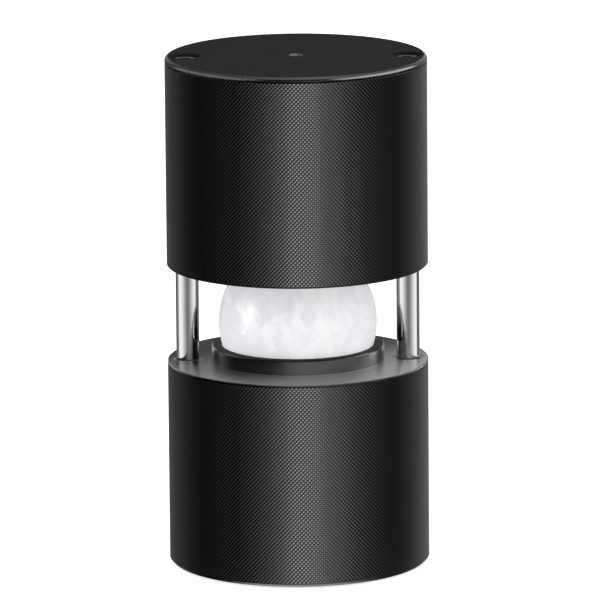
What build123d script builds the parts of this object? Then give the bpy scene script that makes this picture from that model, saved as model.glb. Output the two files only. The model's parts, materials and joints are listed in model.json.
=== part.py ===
from build123d import *
import os

# Ice ball press, in millimetres. +Z is up. The origin is at the centre of the resting face: the
# underside of the foot ring. The press stands raised, with an ice ball in the lower cup.

# ---- driving dimensions: the ball, its cups and the locating ring ----
ball_diameter = 54.6
ball_clearance = 0.2       # from the ice to the cup's wall
ring_lip_width = 3.44      # the ring's flat top, from the cup's mouth out to the ring's side
ring_height = 5.2          # above the lower mould's floor
ring_chamfer = 0.4
ring_side_clearance = 0.25
ring_top_clearance = 0.3
ball_centre_above_ring = 8.0
vent_diameter = 3.0
vent_chamfer = 0.5

# ---- driving dimensions: the two moulds ----
lower_height = 70.5
upper_height = 72.5
rest_gap = 33.5            # between the lower floor and the upper mould's underside
knurl_depth = 0.35         # the wall behind the knurl is turned down by this much
groove_width = 0.4         # plain relief groove below each upper rim, where the knurl starts
groove_depth = 0.5
top_round = 1.5            # radius of the bright rounded edge of the upper mould's top
base_chamfer = 1.0         # round the lower mould's base
parting_chamfer = 0.3      # round the two rims that meet
rim_land = 0.2             # plain wall beside each rim's broken edge

# ---- driving dimensions: the guide rods and their fixings ----
rod_diameter = 8.0
rod_to_ring = 8.25         # from the ring's side to the rod's axis
rod_to_wall = 7.0          # from the rod's axis to the outside of the body
rod_base_clearance = 4.0   # from the rod's end to the base when the press is closed
rod_web = 18.0             # metal between the rod's upper end and the washer
rod_seat_clearance = 0.02
rod_chamfer = 0.8
passage_clearance = 0.5    # round the rod, below its bush
thread_diameter = 5.0
thread_clearance = 0.1     # the tapped bore is modelled plain, this much wider than the screw
tapped_depth = 14.0
screw_engagement = 11.0
screw_head_diameter = 8.5
screw_head_height = 5.0
screw_head_chamfer = 0.4
socket_flats = 4.0
socket_depth = 2.6
screw_sink = 1.0           # from the top face down to the screw's head
shank_clearance = 0.25
washer_diameter = 10.0
washer_bore_clearance = 0.15
washer_thickness = 1.0
head_hole_clearance = 0.5  # round the washer
head_hole_chamfer = 0.2

# ---- driving dimensions: the bushes and the foot ring ----
bush_wall = 1.45
bush_running_clearance = 0.05
bush_seat_clearance = 0.02
bush_length = 20.0
bush_sink = 0.1            # below the lower mould's floor
bush_chamfer = 0.2
foot_width = 5.0
foot_thickness = 2.5
foot_proud = 0.5           # the foot ring stands this far below the base
foot_margin = 3.5          # from the foot ring to the rod passages
foot_side_clearance = 0.05

# ---- levels and radii that follow ----
base_z = foot_proud
floor_z = base_z + lower_height
ring_top_z = floor_z + ring_height
ball_centre_z = ring_top_z + ball_centre_above_ring
underside_z = floor_z + rest_gap
recess_z = underside_z + ring_height + ring_top_clearance
dome_centre_z = underside_z + ring_height + ball_centre_above_ring
top_z = underside_z + upper_height

ball_radius = ball_diameter / 2
cup_radius = ball_radius + ball_clearance
mouth_radius = (cup_radius**2 - ball_centre_above_ring**2) ** 0.5
ring_radius = mouth_radius + ring_lip_width
rod_x = ring_radius + rod_to_ring
body_radius = rod_x + rod_to_wall
wall_radius = body_radius - knurl_depth
groove_radius = body_radius - groove_depth

rod_radius = rod_diameter / 2
thread_radius = thread_diameter / 2
washer_radius = washer_diameter / 2
head_hole_radius = washer_radius + head_hole_clearance
screw_top_z = top_z - screw_sink
washer_top_z = screw_top_z - screw_head_height
washer_low_z = washer_top_z - washer_thickness
rod_high_z = washer_low_z - rod_web
rod_low_z = base_z + rod_base_clearance + rest_gap
screw_low_z = rod_high_z - screw_engagement

bush_bore_radius = rod_radius + bush_running_clearance
bush_radius = bush_bore_radius + bush_wall
bush_top_z = floor_z - bush_sink
bush_low_z = bush_top_z - bush_length
passage_radius = rod_radius + passage_clearance
foot_radius = rod_x - passage_radius - foot_margin
foot_inner_radius = foot_radius - foot_width

sides = {"left": -rod_x, "right": rod_x}
os.makedirs("parts", exist_ok=True)


def save(piece, label):
    """Name a finished piece and write it to its own file."""
    piece.part.label = label
    export_step(piece.part, f"parts/{label}.step")


def knurled_wall(low_z, low_chamfer, edge_z):
    """Outline of a mould's wall, from its lower face up to where its upper edge is broken."""
    low_land_z = low_z + low_chamfer + rim_land
    high_land_z = edge_z - rim_land
    return [
        (body_radius - low_chamfer, low_z),
        (body_radius, low_z + low_chamfer),
        (body_radius, low_land_z),
        (wall_radius, low_land_z),
        (wall_radius, high_land_z - groove_width),
        (groove_radius, high_land_z - groove_width),
        (groove_radius, high_land_z),
        (body_radius, high_land_z),
        (body_radius, edge_z),
    ]


# ---- lower mould: knurled cylinder, raised ring, cup, rod bores and foot recess ----
with BuildPart() as lower_mould:
    with BuildSketch(Plane.XZ):
        with BuildLine():
            Polyline(
                (0, base_z),
                *knurled_wall(base_z, base_chamfer, floor_z - parting_chamfer),
                (body_radius - parting_chamfer, floor_z),
                (ring_radius, floor_z),
                (ring_radius, ring_top_z - ring_chamfer),
                (ring_radius - ring_chamfer, ring_top_z),
                (0, ring_top_z),
                close=True,
            )
        make_face()
    revolve(axis=Axis.Z)
    with Locations((0, 0, ball_centre_z)):
        Sphere(cup_radius, mode=Mode.SUBTRACT)
    with BuildSketch(Plane.XY.offset(bush_low_z)):
        with Locations(*[(x, 0) for x in sides.values()]):
            Circle(bush_radius + bush_seat_clearance)
    extrude(amount=floor_z - bush_low_z, mode=Mode.SUBTRACT)
    with BuildSketch(Plane.XY.offset(base_z)):
        with Locations(*[(x, 0) for x in sides.values()]):
            Circle(passage_radius)
    extrude(amount=bush_low_z - base_z, mode=Mode.SUBTRACT)
    with BuildSketch(Plane.XY.offset(base_z)):
        Circle(foot_radius + foot_side_clearance)
        Circle(foot_inner_radius - foot_side_clearance, mode=Mode.SUBTRACT)
    extrude(amount=foot_thickness - foot_proud, mode=Mode.SUBTRACT)
save(lower_mould, "lower_mould")


# ---- upper mould: knurled cylinder, ring recess, cavity, vent, rod seats and screw holes ----
with BuildPart() as upper_mould:
    with BuildSketch(Plane.XZ):
        with BuildLine():
            wall = Polyline(
                (0, top_z),
                (0, underside_z),
                *knurled_wall(underside_z, parting_chamfer, top_z - top_round),
            )
            rim = RadiusArc(wall @ 1, (body_radius - top_round, top_z), -top_round)
            Line(rim @ 1, wall @ 0)
        make_face()
    revolve(axis=Axis.Z)
    with BuildSketch(Plane.XY.offset(underside_z)):
        Circle(ring_radius + ring_side_clearance)
    extrude(amount=recess_z - underside_z, mode=Mode.SUBTRACT)
    with BuildSketch(Plane.XY.offset(recess_z)):
        Circle(cup_radius)
    extrude(amount=dome_centre_z - recess_z, mode=Mode.SUBTRACT)
    with Locations((0, 0, dome_centre_z)):
        Sphere(cup_radius, mode=Mode.SUBTRACT)
    with BuildSketch(Plane.XY.offset(dome_centre_z)):
        Circle(vent_diameter / 2)
    extrude(amount=top_z - dome_centre_z, mode=Mode.SUBTRACT)
    vent_rim = upper_mould.edges().group_by(Axis.Z)[-1].sort_by(SortBy.RADIUS)[0]
    chamfer(vent_rim, length=vent_chamfer)
    with BuildSketch(Plane.XY.offset(underside_z)):
        with Locations(*[(x, 0) for x in sides.values()]):
            Circle(rod_radius + rod_seat_clearance)
    extrude(amount=rod_high_z - underside_z, mode=Mode.SUBTRACT)
    with Locations(*[(x, 0, top_z) for x in sides.values()]):
        CounterBoreHole(
            radius=thread_radius + shank_clearance,
            counter_bore_radius=head_hole_radius,
            counter_bore_depth=top_z - washer_low_z,
            depth=top_z - rod_high_z,
        )
    top_rims = upper_mould.edges().group_by(Axis.Z)[-1]
    chamfer(
        top_rims.filter_by(lambda rim: abs(rim.radius - head_hole_radius) < head_hole_chamfer),
        length=head_hole_chamfer,
    )
save(upper_mould, "upper_mould")


# ---- guide rods: polished steel, tapped at the upper end ----
for side, x in sides.items():
    with BuildPart() as guide_rod:
        with BuildSketch(Plane((x, 0, rod_low_z))):
            Circle(rod_radius)
        extrude(amount=rod_high_z - rod_low_z)
        chamfer(guide_rod.edges().filter_by(GeomType.CIRCLE), length=rod_chamfer)
        with BuildSketch(Plane((x, 0, rod_high_z))):
            Circle(thread_radius + thread_clearance)
        extrude(amount=-tapped_depth, mode=Mode.SUBTRACT)
    save(guide_rod, f"guide_rod_{side}")


# ---- socket cap screws, sunk below the top face ----
for side, x in sides.items():
    with BuildPart() as rod_screw:
        with BuildSketch(Plane((x, 0, washer_top_z))):
            Circle(screw_head_diameter / 2)
        extrude(amount=screw_head_height)
        chamfer(rod_screw.edges().group_by(Axis.Z)[-1], length=screw_head_chamfer)
        with BuildSketch(Plane((x, 0, screw_low_z))):
            Circle(thread_radius)
        extrude(amount=washer_top_z - screw_low_z)
        with BuildSketch(Plane((x, 0, screw_top_z))):
            RegularPolygon(socket_flats / 2, 6, major_radius=False)
        extrude(amount=-socket_depth, mode=Mode.SUBTRACT)
    save(rod_screw, f"rod_screw_{side}")


# ---- washers under the screw heads ----
for side, x in sides.items():
    with BuildPart() as rod_washer:
        with BuildSketch(Plane((x, 0, washer_low_z))):
            Circle(washer_radius)
            Circle(thread_radius + washer_bore_clearance, mode=Mode.SUBTRACT)
        extrude(amount=washer_thickness)
    save(rod_washer, f"rod_washer_{side}")


# ---- guide bushes: plastic sleeves pressed into the lower mould ----
for side, x in sides.items():
    with BuildPart() as guide_bush:
        with BuildSketch(Plane((x, 0, bush_low_z))):
            Circle(bush_radius)
            Circle(bush_bore_radius, mode=Mode.SUBTRACT)
        extrude(amount=bush_length)
        mouth = guide_bush.edges().group_by(Axis.Z)[-1].sort_by(SortBy.RADIUS)[0]
        chamfer(mouth, length=bush_chamfer)
    save(guide_bush, f"guide_bush_{side}")


# ---- foot ring: silicone, let into the base and standing a little proud ----
with BuildPart() as foot_ring:
    with BuildSketch():
        Circle(foot_radius)
        Circle(foot_inner_radius, mode=Mode.SUBTRACT)
    extrude(amount=foot_thickness)
save(foot_ring, "foot_ring")


# ---- ice ball, lying in the lower cup ----
with BuildPart() as ice_ball:
    with Locations((0, 0, ball_centre_z)):
        Sphere(ball_radius)
save(ice_ball, "ice_ball")
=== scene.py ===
import json
import math

import bmesh
import bpy
from mathutils import Matrix, Vector

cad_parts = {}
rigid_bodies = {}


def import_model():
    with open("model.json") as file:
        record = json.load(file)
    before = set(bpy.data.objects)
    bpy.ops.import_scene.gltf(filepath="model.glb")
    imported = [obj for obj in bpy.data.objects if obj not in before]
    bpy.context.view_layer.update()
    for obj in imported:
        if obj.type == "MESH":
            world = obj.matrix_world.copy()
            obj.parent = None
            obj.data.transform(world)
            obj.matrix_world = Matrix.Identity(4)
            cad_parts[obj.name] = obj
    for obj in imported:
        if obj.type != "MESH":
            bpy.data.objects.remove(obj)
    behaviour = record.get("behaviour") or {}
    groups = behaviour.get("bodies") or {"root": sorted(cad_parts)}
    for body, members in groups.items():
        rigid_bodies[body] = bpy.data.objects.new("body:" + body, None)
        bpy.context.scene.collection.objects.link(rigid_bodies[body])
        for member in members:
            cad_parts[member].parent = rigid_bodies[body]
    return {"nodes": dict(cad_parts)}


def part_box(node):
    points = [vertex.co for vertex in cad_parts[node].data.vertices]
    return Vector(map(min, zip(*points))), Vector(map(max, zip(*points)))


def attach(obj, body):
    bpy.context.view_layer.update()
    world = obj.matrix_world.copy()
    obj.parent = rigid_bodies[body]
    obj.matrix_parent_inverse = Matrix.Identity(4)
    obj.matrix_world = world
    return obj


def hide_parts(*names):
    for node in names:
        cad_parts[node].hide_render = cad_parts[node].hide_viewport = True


for leftover in list(bpy.data.objects):
    bpy.data.objects.remove(leftover)
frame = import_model()
bpy.context.view_layer.update()

# The ice ball press, in metres. +Z is up, it rests on z = 0, and the camera looks from -Y.
MM = 0.001

# ---- sizes read from the frame, and the ring's height as it was turned ----
LOWER_LOW, LOWER_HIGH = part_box("lower_mould")
UPPER_LOW, UPPER_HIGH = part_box("upper_mould")
BODY_RADIUS = LOWER_HIGH.x
RING_HEIGHT = 5.2 * MM
RING_TOP_Z = LOWER_HIGH.z
FLOOR_Z = RING_TOP_Z - RING_HEIGHT
TOP_Z = UPPER_HIGH.z
BALL_LOW, BALL_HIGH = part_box("ice_ball")
BALL_CENTRE = (BALL_LOW + BALL_HIGH) / 2
BALL_RADIUS = (BALL_HIGH.z - BALL_LOW.z) / 2
ROD_LOW, ROD_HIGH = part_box("guide_rod_right")
ROD_X = (ROD_LOW.x + ROD_HIGH.x) / 2

# ---- the wall's plain bands, as they were turned ----
BASE_BAND = 1.2 * MM       # base chamfer and land
FLOOR_BAND = 0.9 * MM      # floor chamfer, land and groove
UNDERSIDE_BAND = 0.5 * MM  # underside chamfer and land
TOP_BAND = 2.1 * MM        # rounded edge, land and groove
GROOVE_HEIGHT = 0.4 * MM

# ---- how far the finish of each hole reaches, a little beyond the hole ----
SCREW_HOLE_RADIUS = 6.0 * MM
SCREW_HOLE_DEPTH = 9 * MM
VENT_MOUTH_RADIUS = 2.5 * MM
VENT_MOUTH_DEPTH = 4 * MM
CUP_RADIUS = 28.0 * MM
UNDER_CUP_Z = UPPER_LOW.z - 70 * MM  # well below the bottom of the cup

# ---- the rods' ends ----
ROD_CHAMFER = 0.8 * MM
TAP_RADIUS = 2.6 * MM
TAP_DEPTH = 14 * MM

# ---- the knurl: crossed ridges, with a diamond between each four crossings ----
KNURL_DEPTH = 0.14 * MM
DIAMOND_HEIGHT = 1.46 * MM
DIAMONDS_ROUND = 200

# ---- the ice, with its painted highlight and its crown of painted light ----
SWIRL = 14 * MM
PAINTED_HIGHLIGHT_CENTRE = (-10.2 * MM, -13.9 * MM, BALL_CENTRE.z + 15.2 * MM)
PAINTED_CROWN_LIGHT_LOW_Z = BALL_CENTRE.z + 9.8 * MM
PAINTED_CROWN_LIGHT_HIGH_Z = BALL_CENTRE.z + 19.8 * MM

# ---- the studio ----
LAMP_AIM = (0, 0, 0.09)
LAMP_DISTANCE = 1.0
LAMP_HEIGHT = 0.21
RING_LAMP_DISTANCE = 0.34
FLOOR_REACH = 8


# ======================================================================================
# Shader and geometry graphs
# ======================================================================================


class Signal:
    """An output socket that takes part in plain Python arithmetic."""

    def __init__(self, graph, socket):
        self.graph, self.socket = graph, socket

    def maths(self, operation, *others):
        """One Math node, with this value first."""
        return self.graph.maths(operation, self, *others)

    def __add__(self, other):
        return self.maths("ADD", other)

    def __radd__(self, other):
        return self.graph.maths("ADD", other, self)

    def __sub__(self, other):
        return self.maths("SUBTRACT", other)

    def __rsub__(self, other):
        return self.graph.maths("SUBTRACT", other, self)

    def __mul__(self, other):
        return self.maths("MULTIPLY", other)

    def __rmul__(self, other):
        return self.graph.maths("MULTIPLY", other, self)

    def __pow__(self, power):
        return self.maths("POWER", power)

    def __abs__(self):
        return self.maths("ABSOLUTE")

    def ramp(self, start, stop, low=0.0, high=1.0):
        """A smooth step from low at start to high at stop."""
        settings = {"interpolation_type": "SMOOTHSTEP"}
        inputs = {"Value": self, "From Min": start, "From Max": stop, "To Min": low, "To Max": high}
        return self.graph.node("ShaderNodeMapRange", settings, inputs, "Result")

    def straight(self, start, stop):
        """A straight line from nothing at start to one at stop."""
        inputs = {"Value": self, "From Min": start, "From Max": stop}
        return self.graph.node("ShaderNodeMapRange", None, inputs, "Result")

    def window(self, low, high, blur):
        """One between low and high, falling smoothly to nothing outside."""
        return self.ramp(low - blur, low + blur) * self.ramp(high + blur, high - blur)


class Graph:
    """A node tree that is built one call at a time."""

    def __init__(self, tree):
        self.tree = tree

    def node(self, kind, settings=None, inputs=None, output=0):
        """Adds a node: its settings first, then the values or links of its sockets."""
        node = self.tree.nodes.new(kind)
        for name, value in (settings or {}).items():
            if name == "stops":
                while len(node.color_ramp.elements) < len(value):
                    node.color_ramp.elements.new(0.5)
                for stop, (place, colour) in zip(node.color_ramp.elements, value):
                    stop.position, stop.color = place, colour
            else:
                setattr(node, name, value)
        for name, value in (inputs or {}).items():
            socket = node.inputs[name]
            if isinstance(value, Signal):
                self.tree.links.new(value.socket, socket)
            else:
                socket.default_value = value
        return Signal(self, node.outputs[output]) if len(node.outputs) else node

    def maths(self, operation, *values):
        return self.node("ShaderNodeMath", {"operation": operation}, dict(enumerate(values)))

    def outputs_of(self, signal):
        """All outputs of the node that a signal comes from."""
        return [Signal(self, socket) for socket in signal.socket.node.outputs]

    def components(self, vector):
        """The x, y and z of a vector."""
        return self.outputs_of(self.node("ShaderNodeSeparateXYZ", None, {0: vector}))

    def mix(self, share, first, second):
        """Blends two colours."""
        settings = {"data_type": "RGBA"}
        inputs = {0: share, 6: first, 7: second}
        return self.node("ShaderNodeMix", settings, inputs, 2)


def grey(level):
    return (level, level, level, 1.0)


def finish_named(name):
    """A new material, and the graph to draw it in."""
    material = bpy.data.materials.new(name)
    material.use_nodes = True
    material.node_tree.nodes.clear()
    return material, Graph(material.node_tree)


def object_place(graph):
    """Where a point of the piece is, in object coordinates."""
    return graph.node("ShaderNodeTexCoord", output="Object")


def from_axis(across, along):
    """How far a point is from an upright axis, from its two offsets."""
    return (across * across + along * along) ** 0.5


def noise(graph, place, scale, detail=2.0, roughness=0.5):
    inputs = {"Vector": place, "Scale": scale, "Detail": detail, "Roughness": roughness}
    return graph.node("ShaderNodeTexNoise", None, inputs, "Fac")


def bump(graph, height, strength, distance):
    inputs = {"Height": height, "Strength": strength, "Distance": distance}
    return graph.node("ShaderNodeBump", None, inputs, "Normal")


def principled(graph, inputs):
    return graph.node("ShaderNodeBsdfPrincipled", None, inputs)


def surface(graph, shader):
    graph.node("ShaderNodeOutputMaterial", None, {"Surface": shader})


# ======================================================================================
# Finishes
# ======================================================================================


def floor_and_ring(radius, z):
    """Where the lower mould's floor, the ring's wall, the ring's top and the cup are."""
    inside_rim = radius.ramp(BODY_RADIUS - 0.28 * MM, BODY_RADIUS - 0.34 * MM)
    floor = z.window(FLOOR_Z - 0.1 * MM, FLOOR_Z + 0.1 * MM, 0.05 * MM) * inside_rim
    ring_wall = z.window(FLOOR_Z + 0.1 * MM, RING_TOP_Z - 0.1 * MM, 0.05 * MM)
    ring_top = z.window(RING_TOP_Z - 0.05 * MM, RING_TOP_Z + 1 * MM, 0.02 * MM)
    cup_heights = z.window(UNDER_CUP_Z, RING_TOP_Z - 0.2 * MM, 0.1 * MM)
    cup = radius.ramp(CUP_RADIUS, CUP_RADIUS - 2 * MM) * cup_heights
    return floor, ring_wall, ring_top, cup


def grooves(radius, z):
    """Where the two thin grooves are, one below each mould's upper rim."""
    lower, upper = (z.window(low, low + GROOVE_HEIGHT, 0.03 * MM)
                    for low in (FLOOR_Z - FLOOR_BAND, TOP_Z - TOP_BAND))
    return radius.ramp(BODY_RADIUS - 0.02 * MM, BODY_RADIUS - 0.08 * MM) * (lower + upper)


def top_and_holes(x, y, z, radius):
    """Where the flat top, the screw holes and the mouth of the vent are."""
    top_face = z.ramp(TOP_Z - 0.06 * MM, TOP_Z - 0.02 * MM)
    near_rod = from_axis(abs(x) - ROD_X, y).ramp(SCREW_HOLE_RADIUS, SCREW_HOLE_RADIUS - 0.1 * MM)
    screw_holes = near_rod * z.ramp(TOP_Z - SCREW_HOLE_DEPTH, TOP_Z - SCREW_HOLE_DEPTH + 1 * MM)
    near_vent = radius.ramp(VENT_MOUTH_RADIUS, VENT_MOUTH_RADIUS - 0.3 * MM)
    vent = near_vent * z.ramp(TOP_Z - VENT_MOUTH_DEPTH, TOP_Z - VENT_MOUTH_DEPTH + 1 * MM)
    return top_face, screw_holes, vent


def anodised_mould_finish():
    """Black anodised aluminium: matt on top, polished on the floor and round the ring, with painted light
    and shade on the floor and the grooves.
    """
    material, graph = finish_named("anodised_mould")
    place = object_place(graph)
    x, y, z = graph.components(place)
    radius = from_axis(x, y)
    line_pitch = 0.14 * MM
    lathe_lines = (radius * (2 * math.pi / line_pitch)).maths("SINE")
    grain = noise(graph, place, 9000.0)
    smudge = noise(graph, place, 60.0, 3.0)

    floor, ring_wall, ring_top, cup = floor_and_ring(radius, z)
    top_face, screw_holes, vent = top_and_holes(x, y, z, radius)

    # painted light on the floor: brighter and more diffuse at the front right, and painted shade that dulls
    # it at the back
    diffuse_share_and_painted_light = (x * 0.5 - y).ramp(-15 * MM, 50 * MM, 0.06, 0.42) * floor
    painted_floor_sheen = floor * (x * 0.4 - y).ramp(-25 * MM, 35 * MM, 0.0, 0.40)
    painted_back_shade = floor * (y - x * 0.2).ramp(-8 * MM, 20 * MM, 0.0, 0.55)
    # painted light: the grooves are lighter towards the press's left and right sides and a touch darker
    # across front and back
    painted_groove_light = grooves(radius, z) * abs(x).ramp(20 * MM, 36 * MM, -0.02, 0.1)

    # the base colour holds the painted floor sheen and the painted groove light as well as the finish
    # itself
    shine = 0.10 + painted_floor_sheen + ring_wall * 0.12 - ring_top * 0.05 + vent * 0.06 + cup * 0.6 + painted_groove_light
    gloss = principled(graph, {
        "Base Color": graph.mix(shine * smudge.ramp(0.3, 0.7, 0.9, 1.1), grey(0.0), grey(1.0)),
        "Metallic": 1.0 - diffuse_share_and_painted_light,
        "Roughness": smudge.ramp(0.3, 0.7, 0.20, 0.26) + ring_top * 0.3 + floor * 0.08 + ring_wall * 0.07,
        "Normal": bump(graph, lathe_lines * 0.4 + grain, 0.03, 0.004 * MM),
    })
    matt = principled(graph, {
        "Base Color": graph.mix(grain, grey(0.010), grey(0.014)),
        "Roughness": smudge.ramp(0.3, 0.7, 0.80, 0.88),
        "Specular IOR Level": 0.05,
        "Normal": bump(graph, grain, 0.25, 0.01 * MM),
    })
    # the matt share also carries the painted shade at the back of the floor
    dull = (top_face.maths("MAXIMUM", screw_holes) * (1.0 - vent)).maths("MAXIMUM", painted_back_shade)
    surface(graph, graph.node("ShaderNodeMixShader", None, {0: dull, 1: gloss, 2: matt}))
    return material


def knurl_finish():
    """The same anodising over the ridges, lighter on their points and darkened in the valleys with painted
    shade.
    """
    material, graph = finish_named("anodised_knurl")
    place = object_place(graph)
    x, y, _ = graph.components(place)
    point = from_axis(x, y).ramp(BODY_RADIUS - KNURL_DEPTH, BODY_RADIUS)
    smudge = noise(graph, place, 90.0, 3.0)
    # painted shade: the colour darkens from the points down into the valleys
    colour = graph.mix(point, grey(0.10), grey(0.34))
    cut, blasted = (principled(graph, {
        "Base Color": colour, "Metallic": 1.0, "Roughness": smudge.ramp(0.3, 0.7, low, high),
    }) for low, high in ((0.14, 0.17), (0.28, 0.30)))
    blasted_share = 0.35
    surface(graph, graph.node("ShaderNodeMixShader", None, {0: blasted_share, 1: cut, 2: blasted}))
    return material


def rod_finish():
    """Ground and polished stainless steel."""
    material, graph = finish_named("polished_rod")
    place = object_place(graph)
    drawn_out = graph.node("ShaderNodeMapping", None, {"Vector": place, "Scale": (1.0, 1.0, 0.04)})
    lines = noise(graph, drawn_out, 3000.0)
    smudge = noise(graph, place, 80.0)
    surface(graph, principled(graph, {
        "Base Color": graph.mix(smudge, (0.60, 0.60, 0.61, 1), (0.68, 0.68, 0.685, 1)),
        "Metallic": 1.0,
        "Roughness": smudge.ramp(0.3, 0.7, 0.07, 0.12),
        "Normal": bump(graph, lines, 0.05, 0.004 * MM),
    }))
    return material


def grained_finish(name, scale, detail, tones, roughness, relief, metallic=0.0):
    """An even finish whose tone and roughness vary with a fine grain."""
    material, graph = finish_named(name)
    grain = noise(graph, object_place(graph), scale, detail)
    surface(graph, principled(graph, {
        "Base Color": graph.mix(grain, grey(tones[0]), grey(tones[1])),
        "Metallic": metallic,
        "Roughness": grain.ramp(0.3, 0.7, *roughness),
        "Normal": bump(graph, grain, *relief),
    }))
    return material


def screw_finish():
    """Plain stainless screws and washers, turned dull."""
    return grained_finish("screw_steel", scale=2500.0, detail=2.0, tones=(0.30, 0.42),
                          roughness=(0.30, 0.42), relief=(0.15, 0.01 * MM), metallic=1.0)


def bush_finish():
    """Dark grey bearing plastic."""
    return grained_finish("bush_plastic", scale=4000.0, detail=2.0, tones=(0.11, 0.13),
                          roughness=(0.16, 0.24), relief=(0.05, 0.004 * MM))


def silicone_finish():
    """Matt black silicone."""
    return grained_finish("foot_silicone", scale=3000.0, detail=3.0, tones=(0.018, 0.032),
                          roughness=(0.70, 0.85), relief=(0.20, 0.02 * MM))


def ice_finish():
    """Wet, cloudy ice: milky inside, with frost veils, fine streaks, a painted highlight at the upper left
    front, and a glow of painted light that is brighter on the crown.
    """
    material, graph = finish_named("ice")
    place = object_place(graph)
    _, _, z = graph.components(place)
    swirl = graph.node("ShaderNodeTexNoise", None, {
        "Vector": place, "Scale": 130.0, "Detail": 4.0,
    }, "Color")
    bent = graph.node("ShaderNodeVectorMath", {"operation": "MULTIPLY_ADD"}, {
        0: swirl, 1: (SWIRL, SWIRL, SWIRL), 2: place,
    })

    leaning = graph.node("ShaderNodeMapping", None, {
        "Vector": bent, "Rotation": (0.3, 0.5, 0.2), "Scale": (1.0, 1.0, 0.45),
    })
    cells = {"Vector": leaning, "Scale": 330.0}
    to_edge = graph.node("ShaderNodeTexVoronoi", {"feature": "DISTANCE_TO_EDGE"}, cells, "Distance")
    crack = to_edge.ramp(0.030, 0.0) * noise(graph, place, 85.0).ramp(0.50, 0.60)
    cell_colour = graph.node("ShaderNodeTexVoronoi", {"feature": "F1"}, cells, "Color")
    veil = graph.node("ShaderNodeSeparateColor", None, {0: cell_colour})

    cloud = noise(graph, place, 55.0, 4.0, 0.6)
    drawn_out = graph.node("ShaderNodeMapping", None, {
        "Vector": bent, "Rotation": (0.0, 0.35, 0.0), "Scale": (1.0, 1.0, 0.22),
    })
    streak = noise(graph, drawn_out, 420.0, 3.0, 0.6)

    # painted highlight: a white spot at the upper left front of the ball
    from_painted_highlight = graph.node("ShaderNodeVectorMath", {"operation": "DISTANCE"}, {
        0: bent, 1: PAINTED_HIGHLIGHT_CENTRE,
    }, "Value")
    painted_highlight = from_painted_highlight.ramp(6.5 * MM, 1.5 * MM) * streak.ramp(0.35, 0.55, 0.4, 1.0)

    milky = (cloud * 0.45 + veil * 0.20 + streak * 0.35).ramp(0.30, 0.70)
    milk = graph.mix(milky, (0.62, 0.62, 0.65, 1), (0.74, 0.74, 0.755, 1))
    cracks_and_painted_highlight = crack * 0.7 + painted_highlight
    # painted light: the ice glows though it is no lamp, most where it is milky, on the cracks and the
    # painted highlight, and brighter on the crown
    glow = milky * 0.7 + cracks_and_painted_highlight * 0.4 + z.ramp(PAINTED_CROWN_LIGHT_LOW_Z, PAINTED_CROWN_LIGHT_HIGH_Z) * 0.4
    surface(graph, principled(graph, {
        "Base Color": graph.mix(cracks_and_painted_highlight, milk, (1.0, 1.0, 1.0, 1)),
        "Roughness": streak.ramp(0.35, 0.65, 0.35, 0.60),
        "IOR": 1.31,
        "Subsurface Weight": 0.1,
        "Subsurface Radius": (1.0, 1.0, 1.05),
        "Subsurface Scale": 3 * MM,
        "Emission Color": graph.mix(glow, (0.80, 0.80, 0.845, 1), (1.0, 1.0, 1.0, 1)),
        "Emission Strength": 0.46,
        "Normal": bump(graph, cloud * 0.5 + veil * 0.3 + streak * 0.3 + crack * 0.3, 0.30, 0.5 * MM),
    }))
    return material


# ======================================================================================
# Pieces
# ======================================================================================


def put(name, mesh, body):
    """Links a finished mesh as a piece that rides on a body."""
    piece = bpy.data.objects.new(name, mesh)
    bpy.context.scene.collection.objects.link(piece)
    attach(piece, body)
    return piece


def smooth_mesh(work, name, material):
    """The smooth mesh of a finished bmesh, in one material."""
    for face in work.faces:
        face.smooth = True
    mesh = bpy.data.meshes.new(name)
    work.to_mesh(mesh)
    work.free()
    mesh.materials.append(material)
    return mesh


def knurl_tree(material):
    """Geometry Nodes: a sheet rolled round the press's axis, its points out and in by turns."""
    tree = bpy.data.node_groups.new("diamond_knurl", "GeometryNodeTree")
    face = tree.interface
    face.new_socket("Geometry", in_out="OUTPUT", socket_type="NodeSocketGeometry")
    for name, kind in (
        ("Radius", "NodeSocketFloat"),
        ("Depth", "NodeSocketFloat"),
        ("Low", "NodeSocketFloat"),
        ("High", "NodeSocketFloat"),
        ("Diamonds Round", "NodeSocketInt"),
        ("Rows", "NodeSocketInt"),
    ):
        face.new_socket(name, in_out="INPUT", socket_type=kind)
    graph = Graph(tree)
    given = {signal.socket.name: signal for signal in graph.outputs_of(graph.node("NodeGroupInput"))}

    steps_round = given["Diamonds Round"] * 2
    steps_up = given["Rows"] * 2
    sheet = graph.node("GeometryNodeMeshGrid", None, {
        "Size X": 1.0, "Size Y": 1.0, "Vertices X": steps_round + 1, "Vertices Y": steps_up + 1,
    }, "Mesh")
    x, y, _ = graph.components(graph.node("GeometryNodeInputPosition"))
    across, up = x + 0.5, y + 0.5
    step = (across * steps_round + up * steps_up).maths("ROUND")
    point = step.maths("PINGPONG", 1.0)
    radius = given["Radius"] - given["Depth"] * (1.0 - point)
    turn = across * (2 * math.pi)
    rolled = graph.node("GeometryNodeSetPosition", None, {
        "Geometry": sheet,
        "Position": graph.node("ShaderNodeCombineXYZ", None, {
            0: radius * turn.maths("SINE"),
            1: radius * turn.maths("COSINE") * -1.0,
            2: given["Low"] + up * (given["High"] - given["Low"]),
        }),
    })
    closed = graph.node("GeometryNodeMergeByDistance", None, {"Geometry": rolled, "Distance": 0.01 * MM})
    real = graph.node("GeometryNodeRealizeInstances", None, {"Geometry": closed})
    dressed = graph.node("GeometryNodeSetMaterial", None, {"Geometry": real, "Material": material})
    graph.node("NodeGroupOutput", None, {"Geometry": dressed})
    return tree


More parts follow.
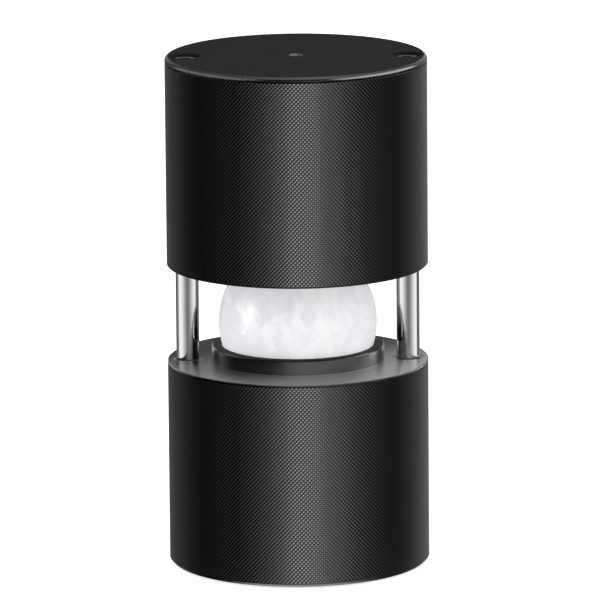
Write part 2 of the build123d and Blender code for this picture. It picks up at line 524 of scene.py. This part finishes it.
def knurled_skin(name, tree, low, high, body):
    """One mould's knurl, from the top of its base band to the groove under its upper rim."""
    holder = bpy.data.objects.new(name + "_holder", bpy.data.meshes.new(name + "_holder"))
    bpy.context.scene.collection.objects.link(holder)
    modifier = holder.modifiers.new("knurl", "NODES")
    modifier.node_group = tree
    values = {
        "Radius": BODY_RADIUS,
        "Depth": KNURL_DEPTH,
        "Low": low,
        "High": high,
        "Diamonds Round": DIAMONDS_ROUND,
        "Rows": round((high - low) / DIAMOND_HEIGHT),
    }
    for item in tree.interface.items_tree:
        if item.in_out == "INPUT":
            modifier[item.identifier] = values[item.name]
    seen = holder.evaluated_get(bpy.context.evaluated_depsgraph_get())
    mesh = bpy.data.meshes.new_from_object(seen)
    mesh.name = name
    bpy.data.objects.remove(holder)

    # a point in the middle of each patch makes straight ridges that cross both ways
    work = bmesh.new()
    work.from_mesh(mesh)
    bmesh.ops.poke(work, faces=work.faces, center_mode="MEAN")
    work.to_mesh(mesh)
    work.free()
    return put(name, mesh, body)


def turned(name, outline, centre, material):
    """A mesh turned about an upright axis, from its (radius, height) outline."""
    segments = 128
    work = bmesh.new()
    rings = []
    for radius, height in outline:
        if radius == 0:
            rings.append([work.verts.new((centre[0], centre[1], height))])
            continue
        ring = []
        for step in range(segments):
            turn = 2 * math.pi * step / segments
            spot = (centre[0] + radius * math.cos(turn), centre[1] + radius * math.sin(turn), height)
            ring.append(work.verts.new(spot))
        rings.append(ring)
    for lower, upper in zip(rings, rings[1:]):
        for step in range(segments):
            after = (step + 1) % segments
            corners = [lower[step % len(lower)], lower[after % len(lower)],
                       upper[after % len(upper)], upper[step % len(upper)]]
            work.faces.new(dict.fromkeys(corners))
    bmesh.ops.recalc_face_normals(work, faces=work.faces)
    mesh = smooth_mesh(work, name, material)
    mesh.set_sharp_from_angle(angle=math.radians(25))
    return mesh


def polished_rod(side, material):
    """A guide rod with chamfered ends and its tapped hole."""
    node = f"guide_rod_{side}"
    low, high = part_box(node)
    radius = (high.x - low.x) / 2
    centre = ((low.x + high.x) / 2, (low.y + high.y) / 2)
    outline = [
        (0, low.z),
        (radius - ROD_CHAMFER, low.z),
        (radius, low.z + ROD_CHAMFER),
        (radius, high.z - ROD_CHAMFER),
        (radius - ROD_CHAMFER, high.z),
        (TAP_RADIUS, high.z),
        (TAP_RADIUS, high.z - TAP_DEPTH),
        (0, high.z - TAP_DEPTH),
    ]
    name = f"polished_rod_{side}"
    piece = put(name, turned(name, outline, centre, material), "press_head")
    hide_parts(node)
    return piece


def ice_ball(material):
    """The ice ball, hidden from mirror rays, so that the rods and the ring stay dark."""
    work = bmesh.new()
    bmesh.ops.create_icosphere(work, subdivisions=6, radius=BALL_RADIUS)
    bmesh.ops.translate(work, verts=work.verts, vec=BALL_CENTRE)
    piece = put("pressed_ice_ball", smooth_mesh(work, "pressed_ice_ball", material), "base")
    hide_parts("ice_ball")
    piece.visible_glossy = False
    return piece


def dress(node, material):
    """Gives a CAD node its finish."""
    for holder in frame["nodes"][node].material_slots:
        holder.material = material


# ======================================================================================
# Studio
# ======================================================================================


def camera():
    """The photograph's view: a long lens, a little above the press, with a slight lean."""
    distance, elevation, lean = 2.5, math.radians(11.84), math.radians(0.46)
    lens_px, frame_px = 7256, 600
    aim = Vector((0.8 * MM, 0, 91.3 * MM))
    back = Vector((0, -math.cos(elevation), math.sin(elevation)))
    data = bpy.data.cameras.new("camera")
    data.lens = lens_px / frame_px * data.sensor_width
    data.clip_start, data.clip_end = 0.1, 20
    seer = bpy.data.objects.new("camera", data)
    bpy.context.scene.collection.objects.link(seer)
    seer.location = aim + back * distance
    upright = (-back).to_track_quat("-Z", "Y").to_matrix()
    tilt = Vector((0, 0, 1))
    seer.rotation_mode = "QUATERNION"
    seer.rotation_quaternion = (upright @ Matrix.Rotation(-lean, 3, tilt)).to_quaternion()
    bpy.context.scene.camera = seer


def white_floor():
    """A plain white floor that keeps a faint shadow and can be looked through from below."""
    work = bmesh.new()
    bmesh.ops.create_grid(work, x_segments=1, y_segments=1, size=FLOOR_REACH)
    mesh = bpy.data.meshes.new("floor")
    work.to_mesh(mesh)
    work.free()
    floor = bpy.data.objects.new("floor", mesh)
    bpy.context.scene.collection.objects.link(floor)
    material, graph = finish_named("white_floor")
    seen = graph.node("ShaderNodeLightPath", output="Is Camera Ray")
    below = graph.node("ShaderNodeNewGeometry", output="Backfacing")
    matt = graph.node("ShaderNodeBsdfDiffuse", None, {"Color": grey(0.8)})
    glow = graph.node("ShaderNodeEmission", None, {"Color": grey(1.0), "Strength": seen * 0.7})
    both = graph.node("ShaderNodeAddShader", None, {0: matt, 1: glow})
    clear = graph.node("ShaderNodeBsdfTransparent")
    surface(graph, graph.node("ShaderNodeMixShader", None, {0: below, 1: both, 2: clear}))
    mesh.materials.append(material)
    floor.visible_glossy = False


def azimuth_and_rise(x, y, z):
    """Where a direction points, in degrees: round the press from its front, and above the level."""
    in_degrees = 180 / math.pi
    return x.maths("ARCTAN2", y * -1.0) * in_degrees, z.maths("ARCSINE") * in_degrees


def by_azimuth(graph, around, stops):
    """A level that goes from stop to stop with the azimuth, in degrees from the front."""
    brightest = max(level for turn, level in stops)
    ramp = [((turn + 180) / 360, grey(level / brightest)) for turn, level in stops]
    share = around.straight(-180, 180)
    return graph.node("ShaderNodeValToRGB", {"stops": ramp}, {0: share}) * brightest


def studio_world():
    """White where the camera looks; for reflections, a dark room with soft white and grey cards."""
    world = bpy.data.worlds.new("studio")
    world.use_nodes = True
    world.node_tree.nodes.clear()
    world.cycles.sampling_method = "NONE"
    bpy.context.scene.world = world
    graph = Graph(world.node_tree)
    way = graph.node("ShaderNodeTexCoord", output="Generated")
    around, rise = azimuth_and_rise(*graph.components(way))

    table = rise.ramp(-19, -24) * by_azimuth(graph, around, (
        (-180, 0.02), (-120, 0.04), (-90, 0.09), (-60, 0.09), (-30, 0.34), (-15, 0.65), (0, 1.6),
        (15, 1.25), (30, 0.4), (45, 0.14), (60, 0.09), (100, 0.09), (120, 0.06), (180, 0.02),
    ))
    front_card = rise.ramp(-5, 0) * rise.ramp(18, 12) * by_azimuth(graph, around, (
        (-180, 0.0), (-40, 0.0), (-15, 0.15), (0, 0.3), (15, 0.55), (30, 0.28), (45, 0.03), (60, 0.0),
        (180, 0.0),
    ))
    rear_wall = abs(around).ramp(115, 140) * rise.window(-30, 30, 8) * around.ramp(-90, 90, 0.165, 0.316)
    rear_card = abs(around).ramp(145, 165) * rise.window(3, 45, 4) * 0.2
    under_press = rise.ramp(-50, -70) * 0.3
    ceiling = rise.ramp(32, 48) * (around.ramp(20, 90) * 0.4 + 0.30)
    dark = 0.002
    room = dark + table + front_card + rear_wall + rear_card + under_press + ceiling

    path = graph.outputs_of(graph.node("ShaderNodeLightPath"))
    ray = {signal.socket.name: signal for signal in path}
    camera_ray, glossy = ray["Is Camera Ray"], ray["Is Glossy Ray"]
    level = camera_ray + (1.0 - camera_ray) * (glossy * room + (1.0 - glossy))
    shine = graph.node("ShaderNodeBackground", None, {"Color": grey(1.0), "Strength": level})
    graph.node("ShaderNodeOutputWorld", None, {"Surface": shine})


def lamp(name, place, aim, size, radiance=1.0):
    """A rectangular softbox that shines with an even radiance."""
    width, height = size
    data = bpy.data.lights.new(name, "AREA")
    data.shape = "RECTANGLE"
    data.size, data.size_y = width, height
    data.energy = radiance * math.pi * width * height
    box = bpy.data.objects.new(name, data)
    bpy.context.scene.collection.objects.link(box)
    box.location = place
    box.rotation_mode = "QUATERNION"
    box.rotation_quaternion = (Vector(aim) - Vector(place)).to_track_quat("-Z", "Y")
    return box


def flagged_softbox(name, place, aim, size, pieces, profile):
    """A softbox kept off all but the given pieces, its radiance set by azimuth and rise."""
    box = lamp(name, place, aim, size)
    box.visible_camera = False
    box.data.use_nodes = True
    box.data.node_tree.nodes.clear()
    graph = Graph(box.data.node_tree)
    incoming = graph.components(graph.node("ShaderNodeNewGeometry", output="Incoming"))
    around, rise = azimuth_and_rise(*(part * -1.0 for part in incoming))
    shine = graph.node("ShaderNodeEmission", None, {
        "Color": grey(1.0), "Strength": profile(graph, around, rise),
    })
    graph.node("ShaderNodeOutputLight", None, {"Surface": shine})
    lit = bpy.data.collections.new(name + "_pieces")
    for piece in pieces:
        lit.objects.link(piece)
    box.light_linking.receiver_collection = lit


def beside(turn, distance=LAMP_DISTANCE, height=LAMP_HEIGHT):
    """A place beside the press, turned from its front by some degrees."""
    away = math.radians(turn)
    return Vector((math.sin(away) * distance, -math.cos(away) * distance, height))


def rod_profile(graph, around, rise):
    """Bright at both sides and dim in front, so that the rods keep a dark core."""
    return by_azimuth(graph, around, (
        (-180, 0.3), (-104, 0.3), (-92, 1.2), (-80, 1.4), (-60, 1.3), (-40, 0.9), (-20, 0.45), (0, 0.28),
        (20, 0.35), (40, 0.75), (60, 1.15), (80, 1.4), (92, 1.2), (104, 0.12), (180, 0.1),
    ))


def ring_profile(graph, around, rise):
    """An even light that falls away to the left, for the lower mould's floor and ring."""
    return around.ramp(-45, 12) * 0.37


def kicker_profile(graph, around, rise):
    """From behind on both sides, for the ends of the ring and the floor."""
    return rise.ramp(0, 6) * by_azimuth(graph, around, (
        (-165, 0.0), (-150, 0.9), (-125, 0.7), (-105, 0.0), (75, 0.1), (95, 1.0), (130, 1.8), (150, 0.0),
    ))


def ring_end_profile(graph, around, rise):
    """A narrow strip behind each end of the ring."""
    return by_azimuth(graph, around, (
        (-170, 0.0), (-150, 10.0), (-130, 4.5), (-118, 0.0), (90, 0.0), (115, 1.8), (145, 12.0), (170, 0.0),
    ))


def under_profile(graph, around, rise):
    """From straight below, for the base's chamfer."""
    return rise.ramp(-55, -70) * 1.6


def rim_profile(graph, around, rise):
    """Stronger on the right, for the rounded edge of the top."""
    return rise.ramp(4, 12) * around.ramp(-60, 60, 1.1, 3.6)


def knurl_profile(graph, around, rise):
    """The table in front, right of the middle, for the ridges that face level."""
    return rise.ramp(-24, -19) * rise.ramp(0, -5) * by_azimuth(graph, around, (
        (-180, 0.0), (-75, 0.0), (-30, 0.05), (-15, 0.07), (0, 0.18), (15, 0.54), (30, 0.39), (45, 0.2),
        (60, 0.09), (90, 0.0), (180, 0.0),
    ))


def softboxes(rods, skins):
    """Every softbox that is kept for some pieces. Sizes are width by height."""
    lower, upper = [frame["nodes"]["lower_mould"]], [frame["nodes"]["upper_mould"]]
    rod_size, ring_size, kicker_size, rim_size = (3.8, 1.3), (2.8, 1.3), (1.6, 1.3), (1.6, 0.9)
    ring_end_size, under_size, table_size = (0.3, 0.07), (0.12, 0.12), (3.0, 3.0)
    straight_up, ring_aim, ring_lamp_height = (0, 0, 1), (0, 0, 74 * MM), 40 * MM
    under_place, table_place = (0, 0, 0.3 * MM), (0, 0, 0.5 * MM)

    for side, turn in (("left", -62), ("right", 62)):
        flagged_softbox(f"{side}_softbox", beside(turn), LAMP_AIM, rod_size, rods, rod_profile)
    flagged_softbox("ring_softbox", beside(30), LAMP_AIM, ring_size, lower, ring_profile)
    for side, turn in (("right", 120), ("left", -135)):
        flagged_softbox(f"{side}_kicker", beside(turn), LAMP_AIM, kicker_size, lower, kicker_profile)
    flagged_softbox("under_softbox", under_place, straight_up, under_size, lower, under_profile)
    for side, turn in (("left", -140), ("right", 128)):
        place = beside(turn, RING_LAMP_DISTANCE, ring_lamp_height)
        flagged_softbox(f"ring_end_{side}", place, ring_aim, ring_end_size, lower, ring_end_profile)
    for side, x in (("left", -0.8), ("right", 0.8)):
        flagged_softbox(f"rim_softbox_{side}", (x, -0.1, 0.4), LAMP_AIM, rim_size, upper, rim_profile)
    flagged_softbox("table_softbox", table_place, straight_up, table_size, skins, knurl_profile)


# ======================================================================================
# Assembly
# ======================================================================================

camera()
lamp("overhead_softbox", place=(0.0, -0.1, 1.0), aim=(0, 0, 0.1), size=(0.7, 0.7), radiance=0.6)
white_floor()
studio_world()

mould_black = anodised_mould_finish()
for mould in ("lower_mould", "upper_mould"):
    dress(mould, mould_black)

steel, rod_steel, bush_grey = screw_finish(), rod_finish(), bush_finish()
rods = []
for side in ("left", "right"):
    dress(f"rod_screw_{side}", steel)
    dress(f"rod_washer_{side}", steel)
    dress(f"guide_bush_{side}", bush_grey)
    rods.append(polished_rod(side, rod_steel))
dress("foot_ring", silicone_finish())

diamonds = knurl_tree(knurl_finish())
skins = [
    knurled_skin("lower_knurl", diamonds, LOWER_LOW.z + BASE_BAND, FLOOR_Z - FLOOR_BAND, "base"),
    knurled_skin("upper_knurl", diamonds, UPPER_LOW.z + UNDERSIDE_BAND, TOP_Z - TOP_BAND, "press_head"),
]
ice_ball(ice_finish())
softboxes(rods, skins)

bpy.context.scene.view_settings.view_transform = "Standard"
bpy.context.view_layer.update()
